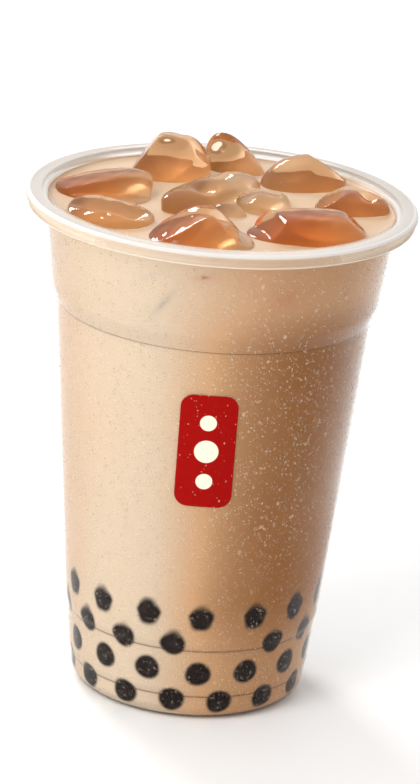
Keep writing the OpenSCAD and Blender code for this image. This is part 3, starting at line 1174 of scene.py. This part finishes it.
class DRINK_OT_badge(DrinkStep, bpy.types.Operator):
    """Make the plain badge on the front of the cup"""

    bl_idname = "drink.badge"
    bl_label = "Badge"

    def build(self, colours, sizes):
        w, h, z, turn = sizes.badge_width, sizes.badge_height, sizes.badge_z, sizes.badge_turn
        points, faces = badge_surface(w, h, z, turn)
        badge = solid("badge", points, faces, 40)
        angle = np.arctan2(points[:, 0], -points[:, 1]) - turn
        r = outer_r(points[:, 2] / MM) * MM
        layer = badge.data.attributes.new("patch", "FLOAT_VECTOR", "POINT")
        flat = np.column_stack([angle * r, points[:, 2] - z, 0 * r]).astype(np.float32)
        layer.data.foreach_set("vector", flat.ravel())
        dressed(badge, badge_finish(colours))


class DRINK_OT_water(DrinkStep, bpy.types.Operator):
    """Make the mist and the large drops on the cold wall"""

    bl_idname = "drink.water"
    bl_label = "Water Drops"

    def build(self, colours, sizes):
        finish = water_finish()
        rng = np.random.default_rng(12)
        count = sizes.mist_count
        angle, z = scattered(count, rng, mist_density)
        radius = sizes.mist_radius / MM * np.exp(rng.normal(0, 0.36, count)).clip(0.45, 2.1)
        stretch = rng.uniform(0.9, 1.25, count)
        mist = solid("mist", *beads(angle, z, radius, 6, 1, stretch, 0.06))
        mist.visible_shadow = mist.visible_diffuse = False
        dressed(mist, finish)

        count = sizes.drop_count
        angle, z = scattered(count, rng, mist_density)
        radius = rng.uniform(0.32, 0.55, count)
        stretch = rng.uniform(1.0, 1.5, count)
        drops = solid("drops", *beads(angle, z, radius, 16, 6, stretch, 0.12))
        drops.visible_shadow = drops.visible_diffuse = False
        dressed(drops, finish)


class DRINK_OT_stage(DrinkStep, bpy.types.Operator):
    """Make the floor, the lights and the camera"""

    bl_idname = "drink.stage"
    bl_label = "Stage"

    def build(self, colours, sizes):
        reach = np.linspace(-4.0, 4.0, 9)
        gx, gy = np.meshgrid(reach, reach)
        points = np.column_stack([gx.ravel(), gy.ravel(), 0 * gx.ravel() - 0.02 * MM])
        k = (np.arange(8)[:, None] * 9 + np.arange(8)[None, :]).ravel()
        faces = np.column_stack([k, k + 1, k + 10, k + 9]).tolist()
        floor = solid("floor", points, faces)
        floor.data.materials.append(floor_finish(colours).material)

        key = lamp("key", (-0.62, -0.75, 0.70), (0, 0, 0.07), 0.7, 0.9, 8.3, (1.0, 0.985, 0.96))
        key.visible_glossy = False
        lamp("glint", (-0.62, -0.75, 0.90), (0, 0, 0.10), 0.22, 0.32, 1.6, (1.0, 1.0, 1.0))
        lamp("window", (-0.40, 0.72, 0.75), (0, 0, 0.12), 0.36, 0.24, 5.5, (1.0, 1.0, 1.0))
        world = bpy.data.worlds.new("Studio")
        world.use_nodes = True
        world.node_tree.nodes["Background"].inputs["Color"].default_value = (1, 1, 1, 1)
        world.node_tree.nodes["Background"].inputs["Strength"].default_value = 0.85
        bpy.context.scene.world = world
        bpy.context.scene.view_settings.view_transform = "Standard"
        place_camera()


def lamp(name, place, aim, wide, tall, power, tint):
    """A soft rectangular lamp at a place, turned to face its aim."""
    light = bpy.data.lights.new(name, "AREA")
    light.shape = "RECTANGLE"
    light.size, light.size_y = wide, tall
    light.energy, light.color = power, tint
    obj = bpy.data.objects.new(name, light)
    bpy.context.collection.objects.link(obj)
    obj.location = place
    obj.rotation_euler = (Vector(aim) - Vector(place)).to_track_quat("-Z", "Y").to_euler()
    return obj


def place_camera():
    """A long lens a metre away, looking down at the drink and tipped a little to one side."""
    distance, raised, roll = 1123.4 * MM, math.radians(19.464), math.radians(4.432)
    target = Vector((0, 0, 64 * MM))
    back = Vector((0, -math.cos(raised), math.sin(raised)))
    right, up = Vector((1, 0, 0)), Vector((0, math.sin(raised), math.cos(raised)))
    across = math.cos(roll) * right + math.sin(roll) * up
    over = -math.sin(roll) * right + math.cos(roll) * up
    aside, above = 0.001297, 0.009343
    aim = (-back + aside * across + above * over).normalized()
    across = (across - across.dot(aim) * aim).normalized()
    data = bpy.data.cameras.new("camera")
    data.lens, data.sensor_width = 210.31, 36.0
    data.clip_start, data.clip_end = 0.05, 20.0
    camera = bpy.data.objects.new("camera", data)
    bpy.context.collection.objects.link(camera)
    turn = Matrix((across, (-aim).cross(across), -aim)).transposed().to_4x4()
    camera.matrix_world = Matrix.Translation(target + back * distance) @ turn
    bpy.context.scene.camera = camera


STEPS = ("stage", "cup", "tea", "pearls", "ice", "badge", "water")


class DRINK_PT_build(bpy.types.Panel):
    """Steps of the build and their settings"""

    bl_label = "Iced Milk Tea"
    bl_idname = "DRINK_PT_build"
    bl_space_type = "VIEW_3D"
    bl_region_type = "UI"
    bl_category = "Drink"

    def draw(self, context):
        column = self.layout.column(align=True)
        for step in STEPS:
            column.operator(f"drink.{step}")
        for group in (context.scene.drink_sizes, context.scene.drink_colours):
            box = self.layout.box()
            for key in group.bl_rna.properties.keys():
                if key not in ("rna_type", "name"):
                    box.prop(group, key)


CLASSES = (
    DRINK_PG_colours,
    DRINK_PG_sizes,
    DRINK_OT_stage,
    DRINK_OT_cup,
    DRINK_OT_tea,
    DRINK_OT_pearls,
    DRINK_OT_ice,
    DRINK_OT_badge,
    DRINK_OT_water,
    DRINK_PT_build,
)


def register():
    for cls in CLASSES:
        bpy.utils.register_class(cls)
    bpy.types.Scene.drink_colours = bpy.props.PointerProperty(type=DRINK_PG_colours)
    bpy.types.Scene.drink_sizes = bpy.props.PointerProperty(type=DRINK_PG_sizes)


def unregister():
    del bpy.types.Scene.drink_sizes
    del bpy.types.Scene.drink_colours
    for cls in reversed(CLASSES):
        bpy.utils.unregister_class(cls)


def main():
    register()
    for step in STEPS:
        getattr(bpy.ops.drink, step)()


if __name__ == "__main__":
    main()
